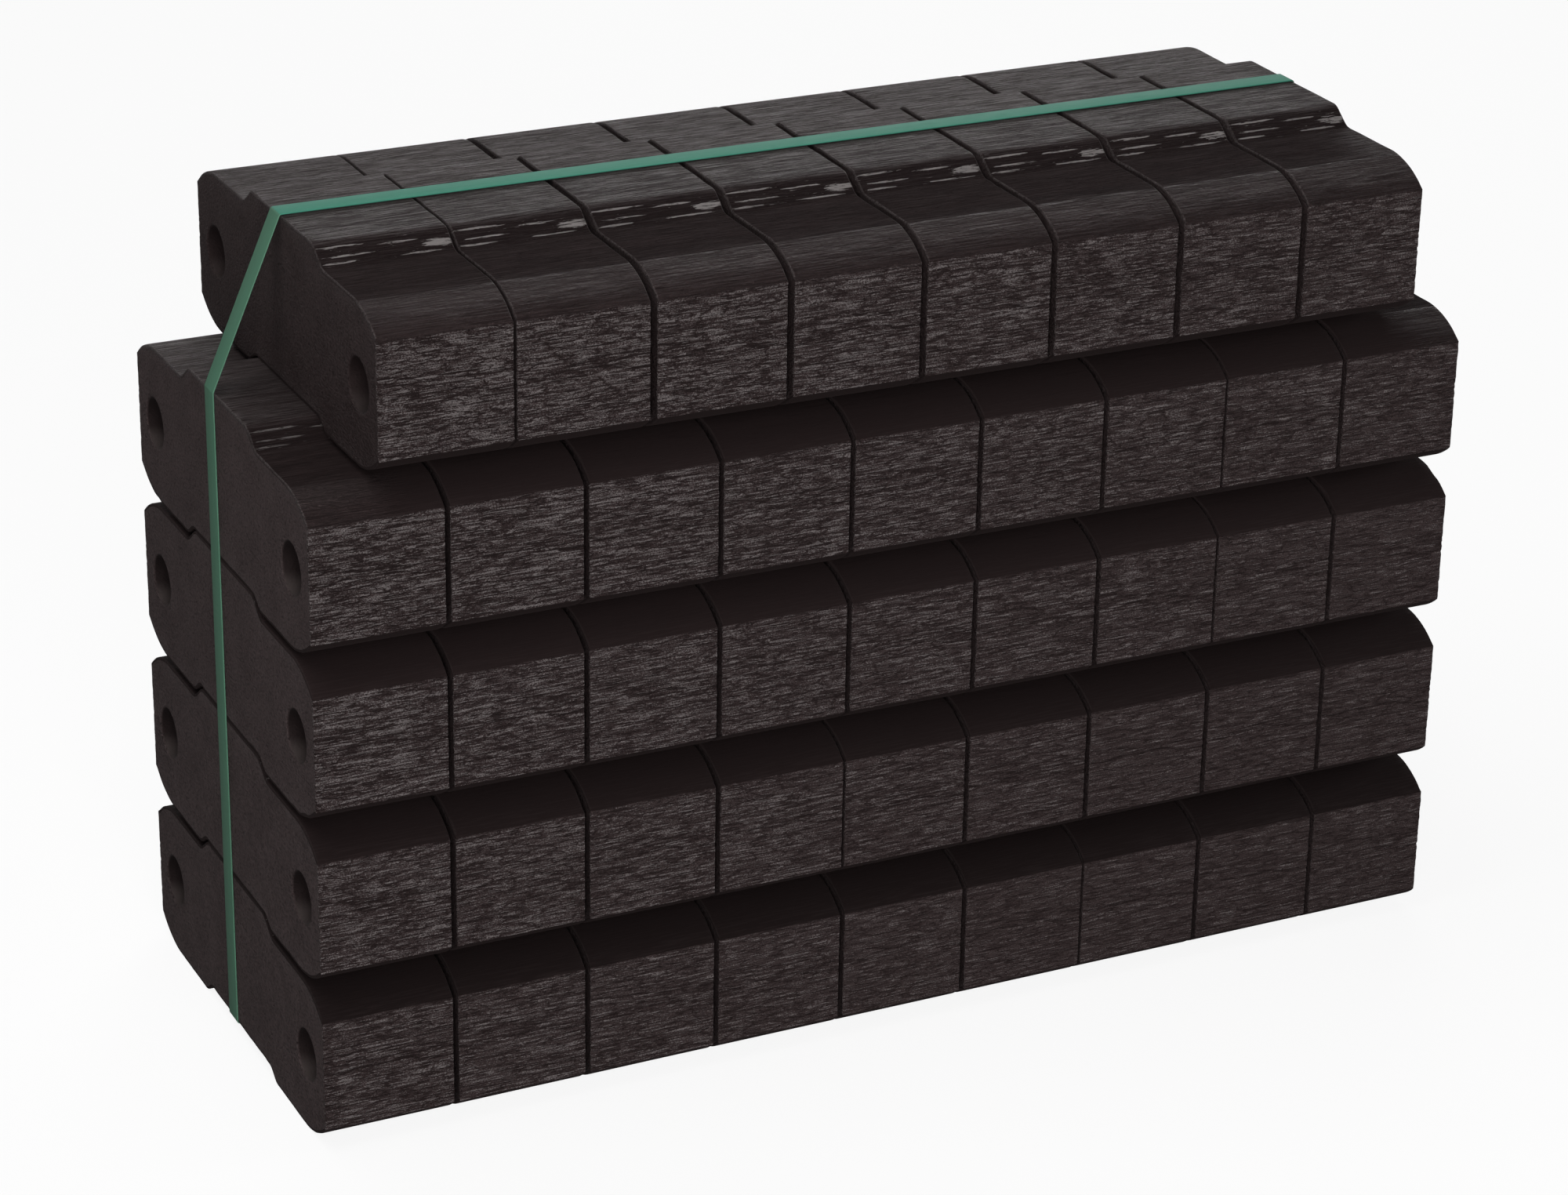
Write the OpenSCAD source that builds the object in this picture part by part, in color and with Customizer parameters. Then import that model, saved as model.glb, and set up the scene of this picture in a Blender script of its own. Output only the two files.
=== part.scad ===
// Strapped bundle of pressed brown-coal briquettes, laid in rows with the shorter row on top.
// Millimetres, +Z up. X runs along the rows, Y along each briquette, and the front is at -Y.
// The origin is on the floor, under the middle of the bundle.

/* [Briquette] */
// Length of a briquette, from its front end to its back end
briquette_length = 182; // [150:1:220]
// Thickness of a briquette along its row, between its two pressed faces
briquette_thickness = 48.5; // [40:0.5:70]
// Height from the flat strips of the underside to the flat strips of the top
body_height = 60; // [54:0.1:75]
// Height of the flat upright face at each end
end_face_height = 42.4; // [34:0.1:50]
// Radius of the four shoulders between the strips and the end faces
shoulder_radius = 31.9; // [24:0.1:45]

/* [Rib and groove] */
// Height of the rib above the top strips
rib_height = 6.3; // [4:0.1:9]
// Width of the rib across its top, before the corners are rounded
rib_width = 62; // [40:0.5:80]
// How far each flank of the rib slopes out on its way down to the strips
flank_run = 8.4; // [5:0.1:14]
// Radius that eases each corner of the rib and the groove
flank_fillet = 6; // [1:0.1:8]
// Room beside the rib in the groove of the briquette above, on each side
flank_clearance = 1.5; // [0.5:0.1:3]

/* [Pressed faces] */
// Width of each round dimple at the face
dimple_diameter = 19.5; // [12:0.5:26]
// Depth of each dimple
dimple_depth = 7; // [3:0.1:9]
// Distance between the middles of the two dimples
dimple_spacing = 145.2; // [110:0.2:150]
// Room between a boss and the dimple that it stands in
boss_clearance = 0.3; // [0.1:0.1:1]

/* [Bundle] */
// Number of rows, one above the other
row_count = 5; // [2:1:6]
// Briquettes in each row under the top one, which has one fewer
row_pieces = 9; // [4:1:10]
// Space between the strips of one row and the strips of the row above
row_gap = 2.1; // [0.6:0.1:3]
// Space between neighbours in a row
seam_gap = 2.1; // [0.4:0.1:4]
// Space between neighbours in the top row
top_seam_gap = 2.7; // [0.4:0.1:4]
// Space at the one narrow seam in each row
narrow_gap = 1.2; // [0.2:0.1:2]
// How far the top row lies to the right of the middle of the rows below
top_row_shift = 2; // [-6:0.5:6]

/* [Strap] */
// Width of the strap
strap_width = 11; // [8:0.5:19]
// Thickness of the strap
strap_thickness = 0.8; // [0.5:0.1:1.2]
// How far the strap runs behind the middle of the briquettes
strap_offset = 6; // [-15:1:15]
// Length over which the ends of the strap overlap, under the bundle
weld_length = 40; // [20:1:80]
// Distance of the overlap to the right of the middle
weld_offset = 60; // [-100:5:100]

/* [Hidden] */
$fa = 4;
$fs = 0.5;
// Which seam of each row is the narrow one, counted from the left, from the bottom row up
narrow_seams = [6, 4, 7, 7, 1];
// Flats that make up each bend of the strap's outer side
bend_steps = 4;
// Largest share of a flank's height that the curve at either end of it takes up
fillet_share = 0.45;

half_length = briquette_length / 2;
shoulder_rise = (body_height - end_face_height) / 2;
shoulder_angle = acos((shoulder_radius - shoulder_rise) / shoulder_radius);
strip_end = half_length - shoulder_radius * sin(shoulder_angle);

// The rib carries the row above, so the groove is as deep as the rib less the space between strips
groove_depth = rib_height - row_gap;
flank_angle = atan(rib_height / flank_run);
flank_drop = 1 - cos(flank_angle);
rib_fillet = min(flank_fillet, fillet_share * rib_height / flank_drop);
groove_fillet = min(rib_fillet, fillet_share * groove_depth / flank_drop);
rib_ease = rib_fillet * tan(flank_angle / 2);
groove_ease = groove_fillet * tan(flank_angle / 2);
rib_top = rib_width / 2;
rib_foot = rib_top + flank_run;
groove_top = rib_top + flank_clearance;
groove_mouth = groove_top + groove_depth * flank_run / rib_height;

dimple_radius = (pow(dimple_diameter / 2, 2) + pow(dimple_depth, 2)) / (2 * dimple_depth);
dimple_middle = dimple_radius - dimple_depth;
boss_height = dimple_depth - boss_clearance;

row_pitch = body_height + row_gap;
// Shift that brings the middle of the overall length to X = 0, as the bosses reach past the right end
middle = (strap_thickness - max(boss_height, strap_thickness)) / 2;

function pieces(row) = row < row_count ? row_pieces : row_pieces - 1;
function gap(row) = row < row_count ? seam_gap : top_seam_gap;
function narrow_seam(row) = min(narrow_seams[row - 1 + len(narrow_seams) - row_count], pieces(row) - 1);
function row_length(row) = pieces(row) * briquette_thickness + (pieces(row) - 2) * gap(row) + narrow_gap;
function row_left(row) = middle - row_length(row) / 2 + (row < row_count ? 0 : top_row_shift);
function row_right(row) = row_left(row) + row_length(row);
function seams_before(row, place) =
    (place - 1) * gap(row) - (place > narrow_seam(row) ? gap(row) - narrow_gap : 0);
function place_x(row, place) =
    row_left(row) + (place - 1) * briquette_thickness + seams_before(row, place);
function row_base(row) = (row - 1) * row_pitch;
function row_top(row) = row_base(row) + body_height + rib_height;
function briquette_name(row, place) = str("row", row, "_briquette", place);

function turned(angle) = [cos(angle), sin(angle)];

// A slice of a disc, which turns a cut corner into a round one
module slice(centre, radius, from, to) {
    translate(centre)
        intersection() {
            circle(r = radius);
            polygon([[0, 0], 2 * radius * turned(from), 2 * radius * turned(to)]);
        }
}

// One side of the outline, from the groove round the end to the rib, with its corners cut
function outline_side() = [
    [groove_top - groove_ease, groove_depth],
    [groove_top + groove_ease * cos(flank_angle), groove_depth - groove_ease * sin(flank_angle)],
    [groove_mouth - groove_ease * cos(flank_angle), groove_ease * sin(flank_angle)],
    [groove_mouth + groove_ease, 0],
    [strip_end, 0],
    [half_length, shoulder_rise],
    [half_length, body_height - shoulder_rise],
    [strip_end, body_height],
    [rib_foot + rib_ease, body_height],
    [rib_foot - rib_ease * cos(flank_angle), body_height + rib_ease * sin(flank_angle)],
    [rib_top + rib_ease * cos(flank_angle), body_height + rib_height - rib_ease * sin(flank_angle)],
    [rib_top - rib_ease, body_height + rib_height]
];

// Outline of a briquette seen along its row: Y across, Z up from the strips of the underside
module outline() {
    side = outline_side();
    last = len(side) - 1;
    low_shoulder = [strip_end, shoulder_radius];
    high_shoulder = [strip_end, body_height - shoulder_radius];
    groove_edge = [groove_mouth + groove_ease, groove_fillet];
    groove_corner = [groove_top - groove_ease, groove_depth - groove_fillet];
    rib_edge = [rib_top - rib_ease, body_height + rib_height - rib_fillet];
    rib_corner = [rib_foot + rib_ease, body_height + rib_fillet];
    difference() {
        union() {
            polygon(concat(side, [for (i = [last : -1 : 0]) [-side[i][0], side[i][1]]]));
            for (end = [0, 1])
                mirror([end, 0]) {
                    slice(low_shoulder, shoulder_radius, 270, 270 + shoulder_angle);
                    slice(high_shoulder, shoulder_radius, 90 - shoulder_angle, 90);
                    slice(groove_edge, groove_fillet, 270 - flank_angle, 270);
                    slice(rib_edge, rib_fillet, 90 - flank_angle, 90);
                }
        }
        for (end = [0, 1])
            mirror([end, 0]) {
                slice(groove_corner, groove_fillet, 90 - flank_angle, 90);
                slice(rib_corner, rib_fillet, 270 - flank_angle, 270);
            }
    }
}

// The two balls that shape the dimples or the bosses, with their middles at the given X
module pair_of_balls(x, radius) {
    for (end = [-1, 1])
        translate([x, end * dimple_spacing / 2, body_height / 2])
            sphere(r = radius);
}

// A briquette with dimples in its left pressed face and the bosses that fit them on its right one
module briquette() {
    color("#3a3533")
        difference() {
            union() {
                rotate([90, 0, 90])
                    linear_extrude(briquette_thickness)
                        outline();
                pair_of_balls(briquette_thickness - dimple_middle, dimple_radius - boss_clearance);
            }
            pair_of_balls(-dimple_middle, dimple_radius);
        }
}

module placed_briquette(row, place) {
    translate([place_x(row, place), 0, row_base(row)])
        briquette();
}

// The strap's inner side: under the lowest row, up the right end, over the top row and down the left end
function strap_route() = [
    [row_left(1), groove_depth],
    [row_right(1), groove_depth],
    [row_right(row_count - 1), row_top(row_count - 1)],
    [row_right(row_count), row_top(row_count)],
    [row_left(row_count), row_top(row_count)],
    [row_left(row_count - 1), row_top(row_count - 1)]
];

function outward(from, to) = atan2(from[0] - to[0], to[1] - from[1]);

// The strap seen from the front: X across, Z up, with its outer side turned round each edge it bends over
module strap_outline() {
    route = strap_route();
    count = len(route);
    facing = [for (i = [0 : count - 1]) outward(route[i], route[(i + 1) % count])];
    turn = [for (i = [0 : count - 1]) (facing[i] - facing[(i + count - 1) % count] + 360) % 360];
    difference() {
        polygon([
            for (i = [0 : count - 1])
                for (step = [bend_steps : -1 : 0])
                    route[i] + strap_thickness * turned(facing[i] - turn[i] * step / bend_steps)
        ]);
        polygon(route);
    }
    translate([middle + weld_offset - weld_length / 2, groove_depth - 2 * strap_thickness])
        square([weld_length, strap_thickness]);
}

module strap() {
    color("#2f8f6f")
        translate([0, strap_offset + strap_width / 2, 0])
            rotate([90, 0, 0])
                linear_extrude(strap_width)
                    strap_outline();
}

for (row = [1 : row_count], place = [1 : pieces(row)])
    placed_briquette(row, place);
strap();
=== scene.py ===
"""Looks of a bundle of pressed brown-coal briquettes, held together by one green plastic strap.

Metres, +Z up, X along the rows and the front at -Y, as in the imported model.
Sizes of the pieces are in millimetres, and become metres when a mesh is made.
"""

import math

import bpy
import numpy as np
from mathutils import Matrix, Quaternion, Vector


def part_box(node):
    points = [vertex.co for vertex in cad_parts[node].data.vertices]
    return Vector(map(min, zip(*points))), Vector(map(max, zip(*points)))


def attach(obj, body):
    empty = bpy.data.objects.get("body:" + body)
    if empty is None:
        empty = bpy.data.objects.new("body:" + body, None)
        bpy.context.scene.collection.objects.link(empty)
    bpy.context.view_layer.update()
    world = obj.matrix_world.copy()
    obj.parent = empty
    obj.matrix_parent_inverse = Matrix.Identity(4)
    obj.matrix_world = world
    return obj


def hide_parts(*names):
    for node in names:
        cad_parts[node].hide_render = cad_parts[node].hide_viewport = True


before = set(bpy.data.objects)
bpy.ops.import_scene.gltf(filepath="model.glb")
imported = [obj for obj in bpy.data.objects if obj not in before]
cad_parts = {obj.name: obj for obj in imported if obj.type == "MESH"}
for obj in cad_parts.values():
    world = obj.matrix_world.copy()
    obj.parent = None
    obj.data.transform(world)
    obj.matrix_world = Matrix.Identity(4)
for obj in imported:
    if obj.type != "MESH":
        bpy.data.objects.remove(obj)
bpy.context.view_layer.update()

MM = 0.001

# Outline of a briquette, seen along its row: half widths across Y, heights up Z
half_length = 91.0
thickness = 48.5
body_height = 60.0
shoulder_radius = 31.9
shoulder_rise = 8.8
strip_end = 69.0
rib_top = 31.0
rib_height = 6.3
groove_top = 32.5
groove_depth = 4.2
flank_slope = 0.75
flank_fillet = 6.0
flank_ease = 2.0

# Dimples in the left pressed face and bosses on the right one
dimple_radius = 9.75
dimple_depth = 7.0
dimple_offset = 72.6
boss_clearance = 0.3
rim_round = 0.5

# Wear of a briquette
edge_round = 0.55
corner_round = 0.2
edge_support = 0.6
relief_depth = 0.62
swell_depth = 0.22
face_unevenness = 0.12

# Length and thickness of the layers and of the crumbs that stand out on a torn end
layer_size = (9.0, 1.9)
crumb_size = (2.2, 1.5)

# Splits along every torn end: height at the left edge, fall to the right, wander, turn and depth of each
split_lines = [
    (37.4, 0.07, 0.5, 0.4, 0.6),
    (35.2, 0.08, 0.6, 2.0, 0.7),
    (31.4, 0.055, 0.8, 4.4, 1.0),
    (17.5, 0.05, 0.7, 1.2, 0.5),
]
split_width = 0.6
# How quickly a split wanders along the row, in its long waves and in its short ones
long_wave = 0.13
short_wave = 0.37

# Strap
strap_thickness = 0.5
strap_half_width = 4.5
strap_edge_round = 0.2
strap_bend_radius = 0.8
# How far behind the middle the strap lies: it is drawn round at a slight slant
strap_back_left = 7.0
strap_top_left = 5.0
strap_right = 5.0
lap_start = 37.05
lap_end = 77.05
lap_stations = 9
# A run of the strap is level where it faces up or down by more than this
level_facing = 0.9

# How finely the meshes are divided
end_rows = 60
end_columns = 66
column_step = 3
edge_angles = [0.0, 30.0, 60.0, 90.0]
grid_row_step = 6
grid_column_step = 3
rim_steps = 3
bowl_rings = 6
bend_steps = 6


def lattice(across, up, seed):
    """A repeatable random number from 0 to 1 for each whole-number place."""
    mixed = (across * 374761393 + up * 668265263 + seed * 974634541) & 0xFFFFFFFF
    mixed = ((mixed ^ (mixed >> 13)) * 1274126177) & 0xFFFFFFFF
    return ((mixed ^ (mixed >> 16)) & 0xFFFF) / 0xFFFF


def patches(across, up, seed):
    """Smooth random heights from 0 to 1, one patch to each unit of the plane."""
    left, low = np.floor(across).astype(np.int64), np.floor(up).astype(np.int64)
    u, v = across - left, up - low
    u, v = u * u * (3 - 2 * u), v * v * (3 - 2 * v)
    lower = lattice(left, low, seed) * (1 - u) + lattice(left + 1, low, seed) * u
    upper = lattice(left, low + 1, seed) * (1 - u) + lattice(left + 1, low + 1, seed) * u
    return lower * (1 - v) + upper * v


def rough_heights(across, up, seed, layers=3):
    """Patches with finer ones laid over them, from 0 to 1."""
    total, weight, share = 0.0, 0.0, 1.0
    for layer in range(layers):
        total = total + share * patches(across * 2**layer, up * 2**layer, seed + 31 * layer)
        weight += share
        share *= 0.55
    return total / weight


def eased_step(across, top, height):
    """Height of a step that falls from its full height at top to nothing, both corners eased."""
    run = height / flank_slope
    lean = math.atan(flank_slope)
    reach = flank_ease * math.cos(lean)
    from_top = across - top
    from_foot = from_top - run
    upper = height - flank_fillet + np.sqrt(np.maximum(flank_fillet**2 - (from_top + flank_ease) ** 2, 0))
    lower = flank_fillet - np.sqrt(np.maximum(flank_fillet**2 - (from_foot - flank_ease) ** 2, 0))
    slope = height - from_top * flank_slope
    return np.select(
        [from_top <= -flank_ease, from_top <= reach, from_foot <= -reach, from_foot <= flank_ease],
        [height, upper, slope, lower],
        0.0,
    )


def shoulder_drop(across):
    return shoulder_radius - np.sqrt(shoulder_radius**2 - np.maximum(across - strip_end, 0) ** 2)


def top_height(y):
    return body_height + eased_step(abs(y), rib_top, rib_height) - shoulder_drop(abs(y))


def underside_height(y):
    return eased_step(abs(y), groove_top, groove_depth) + shoulder_drop(abs(y))


# Places across a briquette: closer together over the flank and round the shoulder
flank_end = rib_top + rib_height / flank_slope + flank_ease
shoulder_angle = math.acos(1 - shoulder_rise / shoulder_radius)
half_places = np.concatenate([
    np.linspace(0, rib_top - flank_ease, 12, endpoint=False),
    np.linspace(rib_top - flank_ease, flank_end, 14, endpoint=False),
    np.linspace(flank_end, strip_end, 15, endpoint=False),
    strip_end + shoulder_radius * np.sin(np.linspace(0, shoulder_angle, 13)),
])
places = np.concatenate([-half_places[:0:-1], half_places])
rows = np.linspace(shoulder_rise, body_height - shoulder_rise, end_rows + 1)
last_place = len(places) - 1

# The ring round a briquette: up the front end, back over the top, down the back end, forward underneath
top_corner = end_rows
back_corner = top_corner + last_place
low_corner = back_corner + end_rows
ring_size = low_corner + last_place
ring_y = np.concatenate([
    np.full(end_rows, -half_length), places[:-1], np.full(end_rows, half_length), places[:0:-1],
])
ring_z = np.concatenate([
    rows[:-1], top_height(places)[:-1], rows[:0:-1], underside_height(places)[:0:-1],
])
ring = np.arange(ring_size)
on_front = ring <= top_corner
on_back = (ring >= back_corner) & (ring <= low_corner)
on_top = (ring >= top_corner) & (ring <= back_corner)
on_underside = (ring >= low_corner) | (ring == 0)


def ring_inward():
    """For each place of the ring, the step in Y and Z that goes one unit into the briquette."""
    top_lean = np.gradient(top_height(places), places)
    low_lean = np.gradient(underside_height(places), places)
    outward = np.zeros((2, ring_size, 2))
    underneath = np.r_[np.arange(low_corner, ring_size), 0]
    for lean, chosen, sign in ((top_lean, on_top, 1), (low_lean[::-1], underneath, -1)):
        face = np.stack([-lean * sign, np.full(len(lean), float(sign))], 1)
        outward[0, chosen] = face / np.linalg.norm(face, axis=1)[:, None]
    outward[1, on_front] = (-1, 0)
    outward[1, on_back] = (1, 0)
    both = outward.sum(0)
    at_corner = (on_front | on_back) & (on_top | on_underside)
    meeting = 1 + (outward[0] * outward[1]).sum(1)
    return -both / np.where(at_corner, meeting, 1)[:, None]


inward = ring_inward()

# Columns along a row: a support line on the pressed face, a rounded edge, the plain width, the same again
angles = np.radians(edge_angles)
plain = np.linspace(0, 1, end_columns + 1)[1:-1]
edge_columns = len(edge_angles) + 1
columns = 2 * edge_columns + len(plain)
coarse_columns = [
    *range(edge_columns), *range(edge_columns + column_step - 1, columns - edge_columns, column_step),
    *range(columns - edge_columns, columns),
]


def ring_grid(round_off):
    """Depth into the face and place along the row of every ring place in every column."""
    r = round_off[:, None]
    depth = np.concatenate([r + edge_support, r * (1 - np.sin(angles))], 1)
    along = np.concatenate([0 * r, r * (1 - np.cos(angles))], 1)
    depth = np.concatenate([depth, np.zeros((ring_size, len(plain))), depth[:, ::-1]], 1)
    along = np.concatenate([along, r + (thickness - 2 * r) * plain, thickness - along[:, ::-1]], 1)
    return depth, along


def corner(ring_place, column):
    return (ring_place % ring_size) * columns + column


def band_faces():
    """Faces of the four long sides, with the zone of each: 0 front, 1 back, 2 top, 3 underside."""
    faces, zones = [], []
    for i in range(ring_size):
        on_end = i < top_corner or back_corner <= i < low_corner
        zone = 0 if i < top_corner else 2 if i < back_corner else 1 if i < low_corner else 3
        fine_near = on_end or i in (top_corner, low_corner)
        fine_far = on_end or (i + 1) % ring_size in (0, back_corner)
        steps = range(columns) if on_end else coarse_columns
        for j, k in zip(steps, steps[1:]):
            near = range(j, k + 1) if fine_near else (j, k)
            far = range(j, k + 1) if fine_far else (j, k)
            faces.append([corner(i, c) for c in near] + [corner(i + 1, c) for c in reversed(far)])
            zones.append(zone)
    return faces, zones


grid_places = list(range(0, last_place + 1, grid_column_step))
grid_rows = list(range(0, end_rows + 1, grid_row_step))


def dome_profile(radius, depth):
    """Radius and depth of each ring of a dimple, from the flat round its rim to near its middle."""
    ball = (radius**2 + depth**2) / (2 * depth)
    middle = ball - depth
    rim = math.acos(middle / ball) - 0.08
    rings = [
        (radius + 2 * rim_round, 0.0),
        (radius + 0.8 * rim_round, 0.12 * rim_round),
        (radius, 0.6 * rim_round),
    ]
    for ring_number in range(bowl_rings):
        turn = rim * (1 - ring_number / bowl_rings)
        rings.append((ball * math.sin(turn), ball * math.cos(turn) - middle))
    return rings


def pressed_face(first_index, left):
    """Faces and extra points of a pressed face: a plain grid inside the ring, with two round domes in it."""
    column = 0 if left else columns - 1
    face_x = 0.0 if left else thickness
    radius = dimple_radius if left else dimple_radius - boss_clearance
    depth = dimple_depth if left else dimple_depth - boss_clearance
    mid_height = body_height / 2
    points, faces = [], []
    border_z = ring_z + inward[:, 1] * (edge_round + edge_support)

    def above(k):
        return corner(top_corner + k, column)

    def below(k):
        return corner(low_corner + last_place - k, column)

    def ahead(r):
        return corner(r, column)

    def behind(r):
        return corner(low_corner - r, column)

    def add(y, z, x=face_x):
        points.append((x, y, z))
        return first_index + len(points) - 1

    wide, high = len(grid_places) - 1, len(grid_rows) - 1
    grid = {}
    spot = {}
    for a, k in enumerate(grid_places):
        for b, r in enumerate(grid_rows):
            if b == 0:
                grid[a, b] = below(k)
            elif b == high:
                grid[a, b] = above(k)
            elif a == 0:
                grid[a, b] = ahead(r)
            elif a == wide:
                grid[a, b] = behind(r)
            else:
                low_z = border_z[(low_corner + last_place - k) % ring_size]
                high_z = border_z[top_corner + k]
                z = low_z + (high_z - low_z) * b / high
                grid[a, b] = add(places[k], z)
                spot[grid[a, b]] = (places[k], z)

    blocks = []
    for end in (-1, 1):
        middle = end * dimple_offset
        reach = radius + 3 * rim_round
        a0 = max(a for a, k in enumerate(grid_places) if places[k] <= middle - reach)
        a1 = min(a for a, k in enumerate(grid_places) if places[k] >= middle + reach)
        blocks.append((middle, a0, a1, 3, high - 3))

    for a in range(wide):
        for b in range(high):
            if any(a0 <= a < a1 and b0 <= b < b1 for _, a0, a1, b0, b1 in blocks):
                continue
            k, k_next, r, r_next = grid_places[a], grid_places[a + 1], grid_rows[b], grid_rows[b + 1]
            lower = [grid[a, b], grid[a + 1, b]]
            rear = [grid[a + 1, b], grid[a + 1, b + 1]]
            upper = [grid[a + 1, b + 1], grid[a, b + 1]]
            front = [grid[a, b + 1], grid[a, b]]
            if b == 0:
                lower = [below(q) for q in range(k, k_next + 1)]
            if a + 1 == wide:
                rear = [behind(q) for q in range(r, r_next + 1)]
            if b + 1 == high:
                upper = [above(q) for q in range(k_next, k - 1, -1)]
            if a == 0:
                front = [ahead(q) for q in range(r_next, r - 1, -1)]
            faces.append(lower[:-1] + rear[:-1] + upper[:-1] + front[:-1])

    for middle, a0, a1, b0, b1 in blocks:
        around = [grid[a, b0] for a in range(a0, a1)] + [grid[a1, b] for b in range(b0, b1)]
        around += [grid[a, b1] for a in range(a1, a0, -1)] + [grid[a0, b] for b in range(b1, b0, -1)]
        bearing = [math.atan2(spot[p][1] - mid_height, spot[p][0] - middle) for p in around]
        turns = []
        for p in range(len(around)):
            step = (bearing[(p + 1) % len(around)] - bearing[p]) % (2 * math.pi)
            turns += [bearing[p] + step * s / rim_steps for s in range(rim_steps)]
        count = len(turns)
        rings = [
            [add(middle + size * math.cos(t), mid_height + size * math.sin(t), face_x + sunk) for t in turns]
            for size, sunk in dome_profile(radius, depth)
        ]
        for p in range(len(around)):
            arc = [rings[0][(p * rim_steps + s) % count] for s in range(rim_steps, -1, -1)]
            faces.append([around[p], around[(p + 1) % len(around)]] + arc)
        for outer, inner in zip(rings, rings[1:]):
            for s in range(count):
                n = (s + 1) % count
                faces.append([outer[s], outer[n], inner[n], inner[s]])
        pole = add(middle, mid_height, face_x + depth)
        for s in range(count):
            faces.append([rings[-1][s], rings[-1][(s + 1) % count], pole])
    if left:
        faces = [face[::-1] for face in faces]
    return points, faces


def briquette_pattern():
    """Faces, zones and extra points that every briquette shares, and which ring points are used."""
    faces, zones = band_faces()
    extra = []
    for left in (True, False):
        points, more = pressed_face(ring_size * columns + len(extra), left)
        extra += points
        faces += more
        zones += [4 if left else 5] * len(more)
    used = np.unique(np.concatenate([np.array(face) for face in faces]))
    new_number = np.zeros(ring_size * columns + len(extra), int)
    new_number[used] = np.arange(len(used))
    faces = [new_number[face].tolist() for face in faces]
    return faces, np.array(zones), np.array(extra), used


faces, zones, extra_points, used_points = briquette_pattern()


def end_relief(x, z, seed):
    """How far the torn end face lies back at each place: layers, crumbs and a few long splits."""
    layers = rough_heights(x / layer_size[0], z / layer_size[1] + 0.04 * x, seed, 3)
    crumbs = rough_heights(x / crumb_size[0], z / crumb_size[1], seed + 5, 2)
    splits = 0
    for height, fall, wander, turn, depth in split_lines:
        wave = np.sin(x * long_wave + turn) + 0.5 * np.sin(x * short_wave + 2 * turn)
        line = height - fall * x + wander * wave
        splits = np.maximum(splits, depth * np.exp(-(((z - line) / split_width) ** 2)))
    hollow = np.clip(1.15 - 1.3 * layers, 0, 1)
    return relief_depth * np.clip(0.6 * hollow + 0.35 * (1 - crumbs) + 0.7 * splits, 0, 1.4)


def briquette_points(seed):
    """Points of one briquette, with its own worn edges and torn end faces."""
    travel = np.cumsum(np.hypot(np.gradient(ring_y), np.gradient(ring_z)))
    wear = rough_heights(travel / 5, travel * 0, seed + 41, 3)
    chips = np.clip(rough_heights(travel / 11, travel * 0, seed + 43, 2) - 0.74, 0, 1) * 5
    on_ends = on_front | on_back
    round_off = np.where(on_ends, corner_round, edge_round) * (0.7 + 0.6 * wear + chips)
    depth, along = ring_grid(round_off)
    y = ring_y[:, None] + inward[:, :1] * depth
    z = ring_z[:, None] + inward[:, 1:] * depth
    for chosen, side, turn in ((on_front, 1, 0), (on_back, -1, 500)):
        y[chosen] += side * end_relief(along[chosen], z[chosen], seed + turn)
    level = np.where(on_top, 1, -1)[:, None] * ~on_ends[:, None]
    swell = rough_heights(along / 60, ring_y[:, None] / 7 + np.where(on_top, 0, 40)[:, None], seed + 61, 2)
    z -= level * swell_depth * swell
    extra = extra_points.copy()
    flat = np.isin(extra[:, 0], (0.0, thickness))
    uneven = rough_heights(extra[:, 1] / 14, extra[:, 2] / 14, seed + 71, 2)
    extra[:, 0] += flat * np.where(extra[:, 0] < thickness / 2, 1, -1) * face_unevenness * uneven
    points = np.concatenate([np.stack([along, y, z], 2).reshape(-1, 3), extra])
    return points[used_points]


# The flat map: each side is laid out on a square sheet, in millimetres
sheet_side = 232.0
# Where each side starts on it: front, back, top, underside, and the left and right pressed faces
sheet_places = [(184.0, 101.5), (184.0, 168.5), (1.0, 0.5), (1.0, 50.5), (92.0, 101.0), (92.0, 165.0)]
travel_over = np.cumsum(np.r_[0, np.hypot(np.diff(places), np.diff(top_height(places)))])


def flat_place(zone, x, y, z):
    """Place on the flat map, from 0 to 1, of points on the sides with these zone numbers."""
    over = np.interp(y, places, travel_over)
    up = z - shoulder_rise
    spans = [(up, x), (up, x), (over, x), (over, x), (y, z), (y, z)]
    laid_out = [
        np.stack([across + start_across, along + start_along], 1)
        for (across, along), (start_across, start_along) in zip(spans, sheet_places)
    ]
    return np.select([zone[:, None] == number for number in range(len(spans))], laid_out) / sheet_side


def mark(mesh, name, values):
    """Writes one number, or one place, for every point of a mesh."""
    values = np.asarray(values, np.float32)
    kind, key = ("FLOAT_VECTOR", "vector") if values.ndim == 2 else ("FLOAT", "value")
    mesh.attributes.new(name, kind, "POINT").data.foreach_set(key, values.ravel())


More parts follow.
